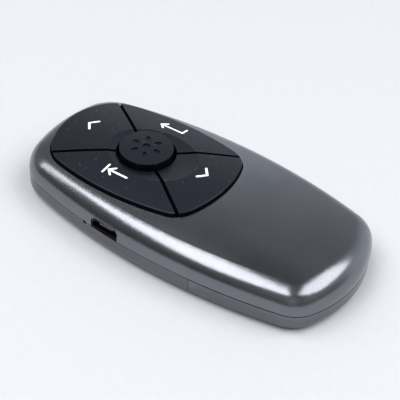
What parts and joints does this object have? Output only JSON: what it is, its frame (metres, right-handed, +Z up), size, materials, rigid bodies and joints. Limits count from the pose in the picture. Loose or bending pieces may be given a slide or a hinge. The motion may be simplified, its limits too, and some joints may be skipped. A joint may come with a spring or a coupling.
{
  "type": "wireless presentation clicker",
  "caption": "Palm-sized wireless presentation remote: spring-back keys around a raised thumb button, side power switch, charging port and slide-off receiver cover.",
  "frame": {"origin": "on the resting face, under the middle of the overall length and width", "axes": "+X runs from the laser end (head) to the receiver end (tail), -Y is the side with the charging port, +Z points up from the resting face to the keys"},
  "size_m": [0.084, 0.0434, 0.0149],
  "materials": {
    "casing": "moulded plastic with a fine satin metallic paint",
    "tray": "plain black moulded plastic",
    "key": "black plastic with a soft satin face",
    "button": "black plastic, slightly rubbery",
    "board": "green solder mask over glass fibre",
    "battery_foil": "soft foil pouch",
    "tape": "thin foam tape",
    "nickel": "bare nickel",
    "chip": "black moulding compound",
    "can": "plain metal can",
    "ceramic": "white ceramic",
    "socket_steel": "stamped bright steel",
    "insulator": "black moulded insulator",
    "gold": "thin gold plating",
    "lamp": "pale lamp body",
    "light_pipe": "clear moulded plastic",
    "switch_black": "black moulded plastic",
    "plunger": "plain moulded plastic",
    "knob": "black plastic",
    "brass": "turned brass",
    "lens": "clear lens",
    "window": "dark red clear plastic",
    "clamp_steel": "bent spring steel",
    "receiver_black": "black moulded plastic",
    "screw": "dark plated steel"
  },
  "bodies": {
    "casing": {"battery": "battery_foil", "battery_tabs": "nickel", "battery_tape": "tape", "board_screws": "screw", "bottom_shell": "casing", "charger_chip": "chip", "chip_antenna": "ceramic", "crystal": "can", "keypad_tray": "tray", "laser_barrel": "brass", "laser_clamp": "clamp_steel", "laser_clamp_screws": "screw", "laser_leads": "nickel", "laser_lens": "lens", "laser_window": "window", "led_light_pipe": "light_pipe", "main_board": "board", "power_switch_body": "switch_black", "radio_chip": "chip", "receiver_case": "receiver_black", "receiver_contacts": "gold", "receiver_plug": "socket_steel", "receiver_tongue": "insulator", "shell_screws": "screw", "status_led": "lamp", "switch_body_enter": "switch_black", "switch_body_laser": "switch_black", "switch_body_next": "switch_black", "switch_body_previous": "switch_black", "switch_body_tab": "switch_black", "top_shell": "casing", "tray_screws": "screw", "usb_port_contacts": "gold", "usb_port_insulator": "insulator", "usb_port_shell": "socket_steel"},
    "key_previous_body": {"key_previous": "key", "switch_plunger_previous": "plunger"},
    "key_next_body": {"key_next": "key", "switch_plunger_next": "plunger"},
    "key_tab_body": {"key_tab": "key", "switch_plunger_tab": "plunger"},
    "key_enter_body": {"key_enter": "key", "switch_plunger_enter": "plunger"},
    "key_laser_body": {"key_laser": "button", "switch_plunger_laser": "plunger"},
    "power_knob_body": {"power_switch_knob": "knob"},
    "cover_body": {"receiver_cover": "casing"}
  },
  "joints": [
    {"name": "key_previous_press", "type": "slide", "parent": "casing", "child": "key_previous_body", "axis": [0, 0, -1], "range_m": [0, 0.0005], "stiffness_N_per_m": 2000, "springref_m": -0.0003},
    {"name": "key_next_press", "type": "slide", "parent": "casing", "child": "key_next_body", "axis": [0, 0, -1], "range_m": [0, 0.0005], "stiffness_N_per_m": 2000, "springref_m": -0.0003},
    {"name": "key_tab_press", "type": "slide", "parent": "casing", "child": "key_tab_body", "axis": [0, 0, -1], "range_m": [0, 0.0005], "stiffness_N_per_m": 2000, "springref_m": -0.0003},
    {"name": "key_enter_press", "type": "slide", "parent": "casing", "child": "key_enter_body", "axis": [0, 0, -1], "range_m": [0, 0.0005], "stiffness_N_per_m": 2000, "springref_m": -0.0003},
    {"name": "key_laser_press", "type": "slide", "parent": "casing", "child": "key_laser_body", "axis": [0, 0, -1], "range_m": [0, 0.0005], "stiffness_N_per_m": 2000, "springref_m": -0.0003},
    {"name": "power_slide", "type": "slide", "parent": "casing", "child": "power_knob_body", "axis": [1, 0, 0], "range_m": [0, 0.002]},
    {"name": "receiver_cover_slide", "type": "slide", "parent": "casing", "child": "cover_body", "axis": [1, 0, 0], "range_m": [0, 0.03]}
  ]
}
